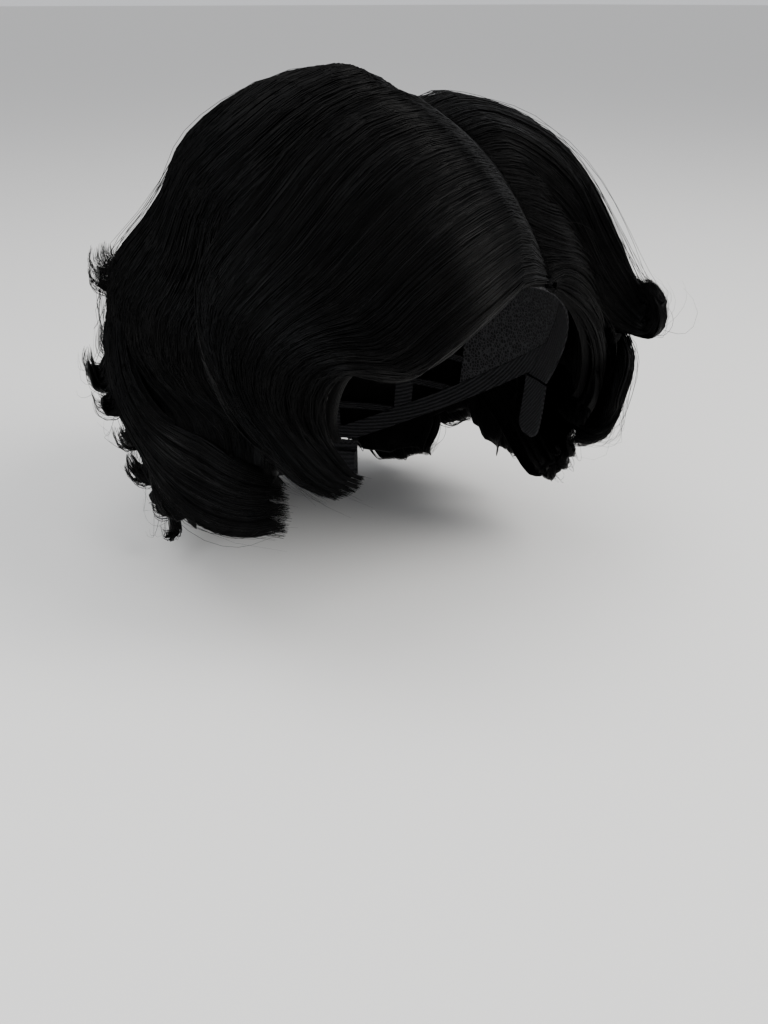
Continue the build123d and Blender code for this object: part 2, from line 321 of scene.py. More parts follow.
# Guides: each is one line of a swath from root to tip, as (turn, rise, lift).
CROWN = parting(1.00)
FRINGE = [
    [(20, 27, 3.5), (6, 28, 6), (-7, 24, 9), (-18, 18.5, 12), (-27, 15.5, 14), (-35, 16.5, 16),
     (-40.5, 15, 17), (-43.5, 10, 17), (-43.5, 5, 19), (-40, 1.8, 23), (-36.5, 1.2, 26)],
    [parting(0.06), (8, 38, 10), (-10, 34, 13), (-24, 27, 15), (-34, 22, 15), (-43, 21, 17),
     (-50, 16.5, 18), (-52, 10.5, 18.5), (-49.5, 5, 20), (-43, 1, 23.5), (-37, -0.2, 26.5)],
    [parting(0.22), (4, 49, 12.5), (-16, 45, 15), (-31, 37, 14.5), (-43, 30, 14), (-51, 24.5, 15.5),
     (-56.5, 17, 18), (-56.5, 10, 19), (-52.5, 4, 20.5), (-46, 0, 23), (-38.5, -1.5, 26.5)],
    [parting(0.40), (-2, 60, 13), (-26, 56, 15.5), (-43, 47, 15.5), (-54, 38, 15), (-61, 29, 16),
     (-65, 20, 18), (-62, 11, 20), (-56.5, 4.5, 21), (-49.5, -0.5, 23), (-41, -2.6, 26)],
    [parting(0.58), (-10, 70, 13.5), (-40, 64, 15.5), (-58, 54, 16), (-68, 44, 15.5), (-74, 33, 16.5),
     (-72, 24, 18), (-66, 15.5, 20), (-59, 7.5, 21), (-51.5, 1.6, 22.5), (-44, -2.6, 24.5)],
]
RIGHT_SIDE = [
    [parting(0.48), (-7, 65, 9), (-34, 59, 10), (-50, 49, 8.5), (-59, 40, 8), (-64, 30, 9),
     (-64, 20, 11.5), (-60, 11, 14), (-56, 4, 15.5), (-54, -1, 17), (-52, -4, 18)],
    [parting(0.74), (-22, 78, 13.5), (-60, 70, 15), (-76, 58, 14.5), (-84, 46, 14.5), (-89, 34, 16),
     (-90, 22, 18), (-86, 11, 17), (-78, 1.5, 15), (-67, -5, 17), (-53, -8, 12.5)],
    [parting(0.88), (-58, 83, 13), (-90, 73, 14.5), (-98, 60, 13.5), (-102, 48, 13.5), (-104, 36, 15),
     (-104, 22, 18), (-99, 8, 16), (-89, -4, 14), (-74, -11, 16.5), (-54, -13, 11)],
    [CROWN, between(CROWN, (-111, 60), 0.4, 10.5), between(CROWN, (-111, 60), 0.75, 13), (-112, 60, 13),
     (-112, 49, 12.5), (-113, 36, 13.5), (-112, 22, 15.5), (-107, 7, 14.5), (-97, -7, 12), (-80, -15, 13.5),
     (-56, -17, 9.5)],
]
RIGHT_WAVE = [
    [(-93, 40, 12), (-96, 30, 17), (-95, 20, 20.5), (-90, 10.5, 21), (-82, 4, 20.5), (-74, 1.5, 21),
     (-66, 1.5, 21.5), (-58, 0, 20), (-53, -2, 16.5)],
    [(-98, 38, 12), (-101, 28, 16.5), (-100, 17, 20), (-95, 6, 20), (-87, -1, 20), (-78, -4, 21), (-68, -4, 21.5),
     (-59, -5, 20), (-53, -6, 15.5)],
    [(-103, 36, 12), (-107, 26, 16), (-106, 13, 19.5), (-101, 2, 19), (-92, -5.5, 18.5), (-81, -9.5, 19.5),
     (-70, -10.5, 20), (-60, -10.5, 18), (-54, -10.5, 13)],
    [(-109, 35, 12), (-114, 24, 15.5), (-113, 11, 18), (-107, -1, 17), (-97, -9.5, 15.5), (-85, -14, 17),
     (-73, -15.5, 17.5), (-62, -15.5, 15.5), (-55, -15, 11)],
]
LEFT_FRONT = [
    [(21, 27, 3.5), (31, 28, 5), (40, 26, 7), (45, 21, 10), (48, 16, 15), (48.5, 11.5, 21), (48, 9, 27),
     (46.5, 9.5, 32), (46, 13, 34.5), (46.5, 17, 32)],
    [parting(0.20), (37, 42, 8), (44, 36, 9), (48, 29, 12), (50, 21, 17), (50, 14.5, 22), (49, 10.5, 27),
     (47.5, 10, 32), (47, 13.5, 35), (47, 17.5, 32)],
    [parting(0.40), (44, 56, 11), (50, 48, 16), (52, 39, 20), (53, 29, 22), (52, 20, 25), (51, 13.5, 28),
     (49.5, 11, 32), (48.5, 14, 35), (48.5, 18, 32)],
    [parting(0.58), (61, 63, 12), (63, 55, 19), (61, 46, 25), (58, 36, 28), (55, 26, 29), (53, 18, 30),
     (51.5, 13, 33), (50.5, 15, 35), (50, 18.5, 32)],
    [parting(0.76), (86, 67, 12), (84, 60, 18), (81, 52, 22), (77, 42, 24), (71, 31, 25), (65, 21, 27),
     (60, 14, 30), (58, 14, 33), (56, 18, 31)],
]
LEFT_TEMPLE = [
    [(21, 26.5, 3), (25, 24.5, 4.5), (30, 21, 6.5), (35, 17, 8.5), (40, 12, 10.5), (45, 6, 12), (49, 0, 12),
     (53, -5, 11), (57, -8.5, 8)],
    [(22, 28, 3), (28, 28, 6.5), (35, 25, 9.5), (42, 20, 12), (48, 14, 14), (52.5, 7, 15.5), (55, 0, 16),
     (57, -6, 14.5), (59, -10, 10)],
    [parting(0.12), (34, 34, 8), (42, 31, 11), (49, 26, 13.5), (55, 19, 15.5), (59, 11, 17), (60, 3, 17.5),
     (60, -5, 17), (60, -11, 12)],
    [parting(0.30), (40, 47, 9), (50, 43, 12), (58, 36, 14), (64, 27, 15), (67, 17, 16), (67, 7, 17.5),
     (65, -3, 18), (62, -11, 14)],
]
LEFT_SIDE = [
    [parting(0.60), (66, 63, 9), (70, 52, 14), (69, 40, 17), (65, 29, 18), (59, 18, 19), (52, 10, 22),
     (47, 4, 25), (45, -2, 24), (48, -8, 17), (54, -10, 9)],
    [parting(0.76), (90, 66, 10), (91, 57, 15), (91, 45, 18), (88, 32, 18), (82, 19, 20), (74, 8, 21),
     (65, -2, 22), (57, -9, 22), (54, -13, 17), (57, -15, 10)],
    [parting(0.90), (111, 64, 10), (108, 57, 14), (106, 49, 15), (104, 41, 17), (101, 28, 19), (96, 15, 18),
     (90, 2, 17), (81, -9, 20), (71, -15, 20), (63, -18, 13)],
    [CROWN, (122, 63, 11), (116, 56, 13), (113, 47, 14), (112, 37, 15), (111, 25, 18), (109, 12, 17), (104, -1, 15),
     (96, -12, 18), (86, -20, 18), (75, -24, 14)],
]
NECK_CURL = [
    [(88, -4, 9), (80, -9, 14), (71, -14, 16), (63, -17, 16), (57, -17, 12), (57, -14, 8)],
    [(92, -9, 9), (84, -14, 13), (75, -19, 16), (66, -22, 16), (59, -22, 12), (58, -19, 8)],
    [(98, -14, 9), (90, -19, 12), (81, -24, 14), (72, -27, 14), (64, -27, 11), (62, -24, 8)],
]


# Rows of hair at the back, each as (share of the way from root to foot, lift): a fall, then a flick outwards.
FALL_AND_FLICK = [(0.0, 5), (0.20, 10), (0.42, 13.5), (0.62, 15.5), (0.80, 16.5), (0.94, 18.5), (1.01, 21.5),
                  (0.97, 24.5), (0.85, 25.5)]
CROWN_FALL = [(58, 13.5), (49, 13), (41, 11.5), (33, 11.5), (26, 14), (20.5, 17.5), (18.5, 21), (20.5, 24.5),
              (25, 25.5)]
BACK_START, BACK_END = 252, 108               # turns of the top row, from the wearer's right round to the left


def crown_guides():
    """The top row at the back: from the crown over the back of the head."""
    guides = []
    for turn in np.linspace(BACK_START, BACK_END, 9):
        away = min(1.0, (turn - BACK_END) / 40)
        top = (turn, CROWN_FALL[0][0])
        guide = [CROWN, between(CROWN, top, 0.35, 5 + 5 * away), between(CROWN, top, 0.7, 9 + 4 * away)]
        for rise, lift in CROWN_FALL:
            guide.append((turn + 3 * math.sin(rise / 8 + turn / 15), rise + 1.5 * math.sin(turn / 9), lift))
        guides.append(guide)
    return guides


def row_guides(first, last, count, top, foot, lean=0.0, sway=0.0, tight=1.0):
    """A lower row that leaves the cap at one rise, falls close to it and flicks outwards at another.

    Tight is how far its lifts are kept down at its first end; they open out over the next 60 degrees.
    """
    rows = []
    for turn in np.linspace(first, last, count):
        held = min(1.0, tight + (1 - tight) * abs(first - turn) / 60)
        uneven = 1.5 * math.sin(turn / 8 + sway) + 2.5 * math.sin(turn / 5.3 + 2 * sway)
        rows.append([(turn + lean * share + 3.5 * math.sin(turn / 9 + 4 * share + sway),
                      top + (foot - top) * share + uneven * min(1.0, share),
                      lift * held)
                     for share, lift in FALL_AND_FLICK])
    return rows


def bordered(net):
    """The same points with one more row and column beyond each edge, which the splines need."""
    net = np.concatenate([2 * net[:1] - net[1:2], net, 2 * net[-1:] - net[-2:-1]])
    return np.concatenate([2 * net[:, :1] - net[:, 1:2], net, 2 * net[:, -1:] - net[:, -2:-1]], axis=1)


def control_net(guides):
    """Control points of a swath, in metres."""
    return bordered(np.array([[on_head(*place) for place in guide] for guide in guides]))


WAVE_ROWS = 26                                # control points along a waved swath
TINY = 1e-12                                  # keeps a zero length from dividing by zero


def waved(net, start, waves, depth, sway, phase=0.0, tip=0.0):
    """The same swath with set waves: in and out by depth and sideways by sway, in mm, from a share of its length."""
    across, along = np.meshgrid(np.linspace(0, 1, net.shape[0] - 2), np.linspace(0, 1, WAVE_ROWS), indexing="ij")
    flat = surface(net, across, along)
    normal = outward(net, across, along)
    run = np.gradient(flat, axis=1)
    sideways = np.cross(normal, run)
    sideways /= np.linalg.norm(sideways, axis=-1, keepdims=True) + TINY
    swell = np.clip((along - start) / 0.25, 0, 1) * (1 - (1 - tip) * np.clip((along - 0.8) / 0.2, 0, 1))
    angle = 2 * math.pi * waves * (along - start) / (1 - start) + phase + 0.9 * across
    flat = flat + normal * (depth * MM * swell * np.sin(angle))[..., None]
    flat = flat + sideways * (sway * MM * swell * np.cos(angle))[..., None]
    return bordered(flat)


def spline_weights(share, spans):
    """Catmull-Rom weights and first control index for shares from 0 to 1."""
    x = np.clip(share, 0.0, 1.0) * spans
    first = np.minimum(x.astype(int), spans - 1)
    t = x - first
    weights = np.stack([
        -0.5 * t + t**2 - 0.5 * t**3,
        1 - 2.5 * t**2 + 1.5 * t**3,
        0.5 * t + 2 * t**2 - 1.5 * t**3,
        -0.5 * t**2 + 0.5 * t**3,
    ])
    return first, weights


def surface(net, across, along):
    """Points of a swath at shares across it and along it, which are arrays of one shape."""
    i, wide = spline_weights(across, net.shape[0] - 3)
    j, long = spline_weights(along, net.shape[1] - 3)
    point = 0.0
    for a in range(4):
        for b in range(4):
            point = point + (wide[a] * long[b])[..., None] * net[i + a, j + b]
    return point


def outward(net, across, along):
    """Unit normals of a swath, on the side away from the head."""
    step = 0.004

    def crossed(wide, long):
        return np.cross(surface(net, wide + step, long) - surface(net, wide - step, long),
                        surface(net, wide, long + step) - surface(net, wide, long - step))

    normal = crossed(across, along)
    normal /= np.linalg.norm(normal, axis=-1, keepdims=True) + TINY
    middle = np.array([0.5])
    foot = surface(net, middle, middle * 0.6)[0]
    return normal * np.sign(crossed(middle, middle * 0.6)[0] @ (foot / HEAD**2))


# ---------------------------------------------------------------------------
# Making a swath: a combed body, and loose strands over it
# ---------------------------------------------------------------------------
STRAND_STEPS = 20
STRAND_RADIUS = 0.19       # mm
ROOT = "cap"


class Locks:
    """How one swath parts into locks across its width."""

    def __init__(self, count, seed, ragged):
        rng = np.random.default_rng(seed)
        edges = np.linspace(0, 1, count + 1)
        edges[1:-1] += rng.uniform(-0.32, 0.32, count - 1) / count
        self.edges = edges
        self.centres = (edges[1:] + edges[:-1]) / 2
        self.widths = edges[1:] - edges[:-1]
        self.height = rng.uniform(0.6, 1.5, count)
        self.level = rng.uniform(-0.7, 0.5, count)
        self.reach = rng.uniform(0.88, 1.0, count) if ragged else rng.uniform(0.985, 1.0, count)
        self.phase = rng.uniform(0, 2 * math.pi, count)
        self.swing = rng.uniform(-1, 1, count)
        self.flick = rng.uniform(-1, 1, count)
        self.count = count

    def find(self, across):
        return np.clip(np.searchsorted(self.edges, across, side="right") - 1, 0, self.count - 1)

    def drift(self, across, along, wild):
        """Sideways move of each lock towards its tip, as a share of the swath's width."""
        lock = self.find(across)
        late = np.clip((along - 0.35) / 0.65, 0, 1)
        ripple = 0.25 * np.sin(7 * along + self.phase[lock]) * late
        return wild * self.widths[lock] * (1.2 * self.swing[lock] * late**2 + ripple)

    def bulge(self, across, along, wild=0.0):
        """Height of the locks' rounded tops over the swath's own surface, in mm."""
        lock = self.find(across)
        off = 2 * (across - self.centres[lock]) / self.widths[lock]
        grow = np.clip(along * 5, 0, 1)
        top = self.height[lock] * (1 - off**2) * (0.6 + 0.8 * along) + self.level[lock] * (0.3 + along)
        return grow * top + wild * 3.0 * self.flick[lock] * np.clip((along - 0.4) / 0.6, 0, 1) ** 2


def shade_smooth(mesh):
    mesh.polygons.foreach_set("use_smooth", [True] * len(mesh.polygons))


def add_piece(name, mesh, material, body=ROOT):
    piece = bpy.data.objects.new(name, mesh)
    bpy.context.scene.collection.objects.link(piece)
    if material:
        mesh.materials.append(material)
    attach(piece, body)
    return piece


SPLIT_FROM = 0.6                              # share of a swath's length where its locks part
GROOVE_COUNTS = (23, 37, 59, 83)              # fine grooves across a swath, one set over another


def combed_body(name, net, locks, material, columns, rows, wild, depth=0.7, thickness=2.6, reach=1.0, seed=0):
    """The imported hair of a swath: a grid laid on it, with round locks, fine grooves and thin rolled edges."""
    rng = np.random.default_rng(seed)
    shape = bmesh.new()
    shape.loops.layers.uv.new("flow")
    bmesh.ops.create_grid(shape, x_segments=columns, y_segments=rows, size=0.5, calc_uvs=True)
    flat = np.array([v.co[:2] for v in shape.verts]) + 0.5
    across, share = flat[:, 0], flat[:, 1]
    lock = locks.find(across)
    off = 2 * (across - locks.centres[lock]) / locks.widths[lock]
    along = share * reach * (locks.reach[lock] - 0.02) * (1 - (0.008 + 0.14 * wild) * off**2 * share**4)
    grooves = 0.0
    for count in GROOVE_COUNTS:
        deep, shift = rng.uniform(0.5, 1.0), rng.uniform(0, 1)
        grooves = grooves + deep * np.sin(2 * math.pi * (count * across + shift) + 0.7 * np.sin(3 * along + count))
    side = np.clip(np.minimum(across, 1 - across) / 0.05, 0, 1)
    tip = np.clip((1 - share) / 0.14, 0, 1)
    tuck = 2.0 * (1 - side) ** 2 + 1.2 * (1 - tip) ** 2
    height = locks.bulge(across, along, wild) + 0.10 * grooves - depth - tuck
    gather = 0.7 * wild if wild > 0.3 else 0.0
    centre = locks.centres[lock]
    wide = centre + (across - centre) * (1 - gather * np.clip((along - 0.5) / 0.5, 0, 1) ** 1.6)
    wide = np.clip(wide + locks.drift(across, along, wild), -0.02, 1.02)
    normal = outward(net, wide, along)
    place = surface(net, wide, along) + normal * height[:, None] * MM
    for vertex, co in zip(shape.verts, place):
        vertex.co = co
    if gather:
        split = [face for face in shape.faces
                 if len({lock[v.index] for v in face.verts}) > 1
                 and min(along[v.index] for v in face.verts) > SPLIT_FROM]
        bmesh.ops.delete(shape, geom=split, context="FACES")
    shape.normal_update()
    faces = [face for face in shape.faces if 0.2 < flat[face.verts[0].index, 1] < 0.6]
    if sum(face.normal.dot(Vector(np.array(face.verts[0].co) / HEAD**2).normalized()) for face in faces) < 0:
        bmesh.ops.reverse_faces(shape, faces=shape.faces)
    mesh = bpy.data.meshes.new(name)
    shape.to_mesh(mesh)
    shape.free()
    shade_smooth(mesh)
    piece = add_piece(name, mesh, material)
    group = piece.vertex_groups.new(name="full")
    for index, weight in enumerate(np.sqrt(side * tip)):
        group.add([index], float(weight), "REPLACE")
    wall = piece.modifiers.new("wall", "SOLIDIFY")
    wall.thickness = thickness * MM
    wall.offset = -1.0
    wall.vertex_group = "full"
    wall.thickness_vertex_group = 0.15
    return piece


def spun(name, paths, radii, material):
    """One piece of many strands, three-sided and closed at both ends. Paths are in metres, radii in mm."""
    linked = bpy.context.scene.collection.objects
    section = bpy.data.curves.new("section", "CURVE")
    ring = section.splines.new("POLY")
    ring.points.add(2)
    for point, angle in zip(ring.points, (0, 120, 240)):
        point.co = (MM * math.cos(math.radians(angle)), MM * math.sin(math.radians(angle)), 0, 1)
    ring.use_cyclic_u = True
    profile = bpy.data.objects.new("section", section)
    linked.link(profile)
    line = bpy.data.curves.new(name, "CURVE")
    line.dimensions = "3D"
    line.bevel_mode = "OBJECT"
    line.bevel_object = profile
    line.use_fill_caps = True
    for path, radius in zip(paths, radii):
        spline = line.splines.new("POLY")
        spline.points.add(len(path) - 1)
        spline.points.foreach_set("co", np.concatenate([path, np.ones((len(path), 1))], axis=1).ravel())
        spline.points.foreach_set("radius", radius)
    holder = bpy.data.objects.new(name, line)
    linked.link(holder)
    bpy.context.view_layer.update()
    mesh = bpy.data.meshes.new_from_object(holder.evaluated_get(bpy.context.evaluated_depsgraph_get()))
    bpy.data.objects.remove(holder)
    bpy.data.objects.remove(profile)
    bpy.data.curves.remove(line)
    bpy.data.curves.remove(section)
    mesh.name = name
    shade_smooth(mesh)
    return add_piece(name, mesh, material)


def strand_paths(net, locks, count, seed, wild, depth=3.0, inner_share=0.16, wall=2.6):
    """Paths and radii of loose strands: half start part way down, and an inner share lies inside the body's wall."""
    rng = np.random.default_rng(seed)
    across = rng.uniform(0.004, 0.996, count)
    lock = locks.find(across)
    late = rng.random(count) < 0.5
    start = np.where(late, rng.uniform(0.02, 0.6, count), rng.uniform(0, 0.02, count))
    end = np.minimum(1.0, locks.reach[lock] + 0.02) - np.abs(rng.normal(0, 0.03, count))
    share = np.linspace(0, 1, STRAND_STEPS)
    along = start[:, None] + (end - start)[:, None] * share
    gather = 1 - (0.03 + 1.05 * wild**2) * np.clip((along - 0.45) / 0.55, 0, 1) ** 1.8
    off = (across - locks.centres[lock])[:, None] * gather
    drift = 0.006 * np.sin(rng.uniform(4, 11, count)[:, None] * along + rng.uniform(0, 6.3, count)[:, None])
    wide = np.clip(locks.centres[lock][:, None] + off + drift, 0.0, 1.0)
    inner = rng.random(count) < inner_share
    deep = depth * 0.8 * rng.random(count) ** 2.4 + 0.3 * late
    under = 0.8 + wall * np.sqrt(np.clip((1 - along) / 0.16, 0, 1)) + rng.uniform(0, 0.6, count)[:, None]
    deep = np.where(inner[:, None], under, deep[:, None])
    lift = 0.2 * np.sin(rng.uniform(5, 14, count)[:, None] * along + rng.uniform(0, 6.3, count)[:, None])
    height = locks.bulge(wide, along, wild) + lift - deep * np.clip(along * 6, 0.1, 1)
    rooted = np.where(late[:, None], -1.6 * np.clip(1 - share / 0.12, 0, 1), 0)
    wide = np.clip(wide + locks.drift(wide, along, wild), -0.02, 1.02)
    normal = outward(net, wide, along)
    paths = surface(net, wide, along) + normal * (height + rooted)[..., None] * MM
    size = STRAND_RADIUS * rng.uniform(0.75, 1.2, count)[:, None]
    radii = size * np.clip(np.minimum(0.5 + share * 6, 1.15 - 0.95 * share**3), 0.12, 1)
    return paths, radii


# Every swath: its guides, the CAD pieces it stands for, its locks and strands, and how far its locks part company
SWATHS = [
    ("right_fringe_hair", FRINGE,
     ("fringe_sweep", "right_crown_sweep", "right_temple_wave", "right_cheek_flip"), 11, 1400, 0.15),
    ("right_side_hair", RIGHT_SIDE,
     ("right_side_wave", "right_side_fall", "right_side_roll"), 13, 1300, 0.28),
    ("right_wave_hair", RIGHT_WAVE,
     (), 7, 560, 0.28),
    ("back_crown_hair", crown_guides(),
     ("back_crown",), 13, 1350, 0.75),
    ("back_upper_hair", row_guides(257, 103, 9, 34, 1),
     ("right_back_wave", "left_back_wave"), 12, 1000, 0.8),
    ("back_middle_hair", row_guides(254, 106, 9, 22, -12, sway=2.0, tight=0.6),
     ("right_back_roll", "left_back_roll"), 12, 950, 0.8),
    ("left_front_hair", LEFT_FRONT,
     ("left_front_sweep", "left_crown_sweep", "left_flip_curl"), 9, 1000, 0.25),
    ("left_temple_hair", LEFT_TEMPLE,
     (), 6, 620, 0.2),
    ("left_side_hair", LEFT_SIDE,
     ("left_side_wave", "left_side_fall", "left_side_roll", "left_lower_curl"), 11, 1150, 0.28),
    ("left_neck_hair", NECK_CURL,
     ("left_neck_curl",), 4, 260, 0.3),
    ("left_lower_hair", row_guides(134, 88, 6, 2, -23, lean=-5),
     ("left_lower_roll",), 6, 430, 0.85),
    ("back_lower_hair", row_guides(232, 128, 8, 2, -24, sway=1.0),
     ("back_lower_roll",), 9, 700, 0.8),
    ("right_lower_hair", row_guides(262, 226, 5, 2, -21, lean=5, tight=0.45),
     ("right_lower_roll",), 5, 380, 0.85),
    ("left_nape_hair", row_guides(187, 118, 7, -14, -33, lean=-4, sway=2.0),
     ("left_nape_roll",), 7, 430, 0.85),
    ("right_nape_hair", row_guides(242, 172, 7, -14, -33, lean=4, sway=1.2, tight=0.7),
     ("right_nape_roll",), 7, 430, 0.85),
]
BODY_ROWS, UNDER_ROWS = 60, 36
MANY_STRANDS = 900                            # a swath with more than these is a wide one
FLICKED = 0.7                                 # locks that part company by more than this flick outwards
BODY_WALL, FLICK_WALL = 2.6, 3.4              # mm
UNDER_LIFT, UNDER_SHARE = 3.4, 0.42           # the underlayer's foot in mm, and its share of the lift above it

# Set waves: their start, number, depth and sideways sway in mm, phase, and what is left of them at the tip
WAVES = {
    "right_wave_hair": (0.25, 1.5, 1.2, 2.5, 1.0, 0.3),
    "right_fringe_hair": (0.12, 2.2, 1.5, 2.2, 0.6, 0.0),
    "right_side_hair": (0.30, 2.6, 3.0, 5.0, 0.0, 0.3),
    "back_crown_hair": (0.25, 2.0, 1.5, 2.5, 0.0, 0.5),
    "left_front_hair": (0.20, 1.6, 1.2, 1.8, 0.0, 0.0),
    "left_side_hair": (0.25, 2.4, 2.2, 3.0, 0.5, 0.2),
}


def flyaway(path, rng):
    """A stray strand's path: the same hair, swung away from the head and back."""
    share = np.linspace(0, 1, STRAND_STEPS)
    away = rng.uniform(2.0, 12.0) * share ** rng.uniform(1.0, 2.5)
    away = away * np.sin(math.pi * np.clip(share * rng.uniform(0.7, 1.2), 0, 1))
    swing = rng.normal(0, 3.5, 3)
    out = path / HEAD**2
    out /= np.linalg.norm(out, axis=1, keepdims=True)
    bend = np.sin(share * rng.uniform(2, 5))[:, None] * swing * share[:, None]
    return path + (out * away[:, None] + bend) * MM


def make_hair():
    combed, fibre = combed_finish(), fibre_finish()
    loose, loose_radii = [], []
    for number, (name, guides, stands_for, lock_count, strand_count, wild) in enumerate(SWATHS):
        net = control_net(guides)
        if name in WAVES:
            net = waved(net, *WAVES[name])
        locks = Locks(lock_count, 40 + number, ragged=wild > 0.5)
        wide, flicks = strand_count > MANY_STRANDS, wild > FLICKED
        columns = 120 if wide else 70
        wall = FLICK_WALL if flicks else BODY_WALL
        body = combed_body(f"{name}_body", net, locks, combed, columns, BODY_ROWS, wild, thickness=wall,
                           reach=0.95 if flicks else 1.0, seed=number)
        if stands_for:
            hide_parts(*stands_for)
        low_net = control_net([[(turn, rise, UNDER_LIFT + max(0.0, lift - UNDER_LIFT) * UNDER_SHARE)
                                for turn, rise, lift in guide] for guide in guides])
        combed_body(f"{name}_underlayer", low_net, locks, combed, columns // 2, UNDER_ROWS, 0.0, thickness=2.0,
                    reach=0.8 if flicks else 0.86, seed=number + 100)
        paths, radii = strand_paths(net, locks, strand_count, 200 + number, wild, wall=wall,
                                    inner_share=0.36 if flicks or name.startswith("left") else 0.16)
        spun(f"{name}_strands", paths, radii, fibre)
        rng = np.random.default_rng(300 + number)
        stray_paths, stray_radii = strand_paths(net, locks, 55 if wide else 20, 400 + number, wild, depth=0.5)
        for path, radius in zip(stray_paths, stray_radii):
            loose.append(flyaway(path, rng))
            loose_radii.append(radius * 0.55)
    spun("flyaway_hairs", loose, loose_radii, fibre)


# ---------------------------------------------------------------------------
# The cap: cloth pieces, sewn threads and moulded fittings
# ---------------------------------------------------------------------------
# Cloth cut from sheet: node, finish, flat width and length in metres, flat area in square metres
CAP_SHEETS = [
    ("crown_net", "net", (0.170, 0.200), 0.02285),
    ("left_side_panel", "net", (0.080, 0.095), 0.00451),
    ("right_side_panel", "net", (0.080, 0.095), 0.00451),
    ("front_band", "band", (0.0122, 0.270), 0.00319),
    ("parting_skin", "skin", (0.0264, 0.135), 0.00343),
    ("nape_band", "band", (0.0182, 0.1015), 0.00182),
    ("left_ear_tab", "band", (0.018, 0.0255), 0.00044),
    ("right_ear_tab", "band", (0.018, 0.0255), 0.00044),
]
# Narrow webbing, tapes and sewn headers: node, finish
CAP_TAPES = [(f"back_ribbon_{n}", "band") for n in range(1, 6)]
CAP_TAPES += [(f"weft_track_{n}", "header") for n in range(1, 8)]
CAP_TAPES += [
    ("nape_weft_lower", "header"), ("nape_weft_upper", "header"),
    ("left_ear_edge_tape", "band"), ("right_ear_edge_tape", "band"),
    ("left_loop_tape", "loops"), ("right_loop_tape", "loops"),
    ("left_strap_end", "band"), ("right_strap_end", "band"),
]
FITTINGS = [
    ("left_adjuster_hook", "hook"), ("right_adjuster_hook", "hook"),
    ("left_ear_tab_stay", "stay"), ("right_ear_tab_stay", "stay"),
]
BODY_OF = {
    "left_ear_tab": "left_ear_tab_body", "right_ear_tab": "right_ear_tab_body",
    "left_strap_end": "left_adjuster", "right_strap_end": "right_adjuster",
}
NECK = np.array([0.0, 0.030])                 # axis of the neck in plan
BAND_INNER = 0.0505                           # radius of the nape band's inner face
BAND_LEVELS = (-0.0748, -0.0595)              # its two rows of stitches
STRAP_INNER, STRAP_LEVEL = 0.0468, -0.067
STRAP_ANGLES = (40.4, 52.0)                   # free end and anchor, from the back of the neck
STRAP_STEP = 1.2                              # degrees between the cuts that let a strap stretch evenly
RIBBON_ANGLES = (-52, -26, 0, 26, 52)
WEFT_LEVELS = (-0.045, -0.030, -0.015, 0.0, 0.015, 0.030, 0.045)
# Lines of the hairline and of the lower edge in the side view, as (a, b, c) of a + b * level = c * y
HAIRLINE_EDGE, LOWER_EDGE = (-0.02255, -0.611, 0.7916), (-0.01798, -0.8645, 0.5026)
JOINED = 1e-6                                 # loose corners nearer than this are one
STITCH, STITCH_REACH = 0.0024, 0.0006         # pitch and half width of the zigzags
ZIGZAG_THREAD, TACK_THREAD, HEADER_THREAD = 0.13, 0.15, 0.16      # radii, mm
WEFT_OUT = 0.00095                            # from the head form to a header's stitches
UP = np.array([0.0, 0.0, 1.0])


def joined_copy(node):
    """A copy of a CAD piece's shape, with its loose triangles joined."""
    shape = bmesh.new()
    shape.from_mesh(bpy.data.objects[node].data)
    bmesh.ops.remove_doubles(shape, verts=shape.verts, dist=JOINED)
    return shape


def finished_mesh(name, shape):
    mesh = bpy.data.meshes.new(name)
    shape.to_mesh(mesh)
    shape.free()
    mesh.materials.clear()
    return mesh


def cut_from(node, name, finish, body=ROOT):
    """A cloth piece cut to a CAD piece's shape, which it replaces."""
    piece = add_piece(name, finished_mesh(name, joined_copy(node)), finish, body)
    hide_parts(node)
    return piece


def neck_point(angle, radius, level):
    """Place round the neck, at an angle from the back towards the wearer's left."""
    a = math.radians(angle)
    return Vector((NECK[0] + radius * math.sin(a), NECK[1] + radius * math.cos(a), level))


def adjuster_strap(side, finish):
    """Elastic strap that stretches between the band's end and the sliding strap end."""
    node = f"{side}_adjuster_strap"
    sign = 1 if side == "left" else -1
    shape = joined_copy(node)
    for angle in np.arange(STRAP_ANGLES[0] + STRAP_STEP, STRAP_ANGLES[1], STRAP_STEP):
        a = math.radians(sign * angle)
        bmesh.ops.bisect_plane(shape, geom=shape.verts[:] + shape.edges[:] + shape.faces[:], dist=1e-7,
                               plane_co=neck_point(sign * angle, STRAP_INNER, STRAP_LEVEL),
                               plane_no=(math.cos(a), -math.sin(a), 0))
    mesh = finished_mesh(f"{node}_elastic", shape)
    mesh.materials.append(finish)
    strap = bpy.data.objects.new(f"{node}_elastic", mesh)
    bpy.context.scene.collection.objects.link(strap)
    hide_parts(node)
    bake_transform(strap)


def zigzag(line, pitch, reach, sideways):
    """A sewn zigzag along a line of points: reach to each side of it, sideways. All in metres."""
    steps = np.linalg.norm(np.diff(line, axis=0), axis=1)
    length = np.concatenate([[0], np.cumsum(steps)])
    at = np.arange(0, length[-1], pitch / 2)
    path = np.stack([np.interp(at, length, line[:, axis]) for axis in range(3)], axis=1)
    turn = np.where(np.arange(len(at)) % 2, 1.0, -1.0)
    return path + sideways * (turn * reach)[:, None]


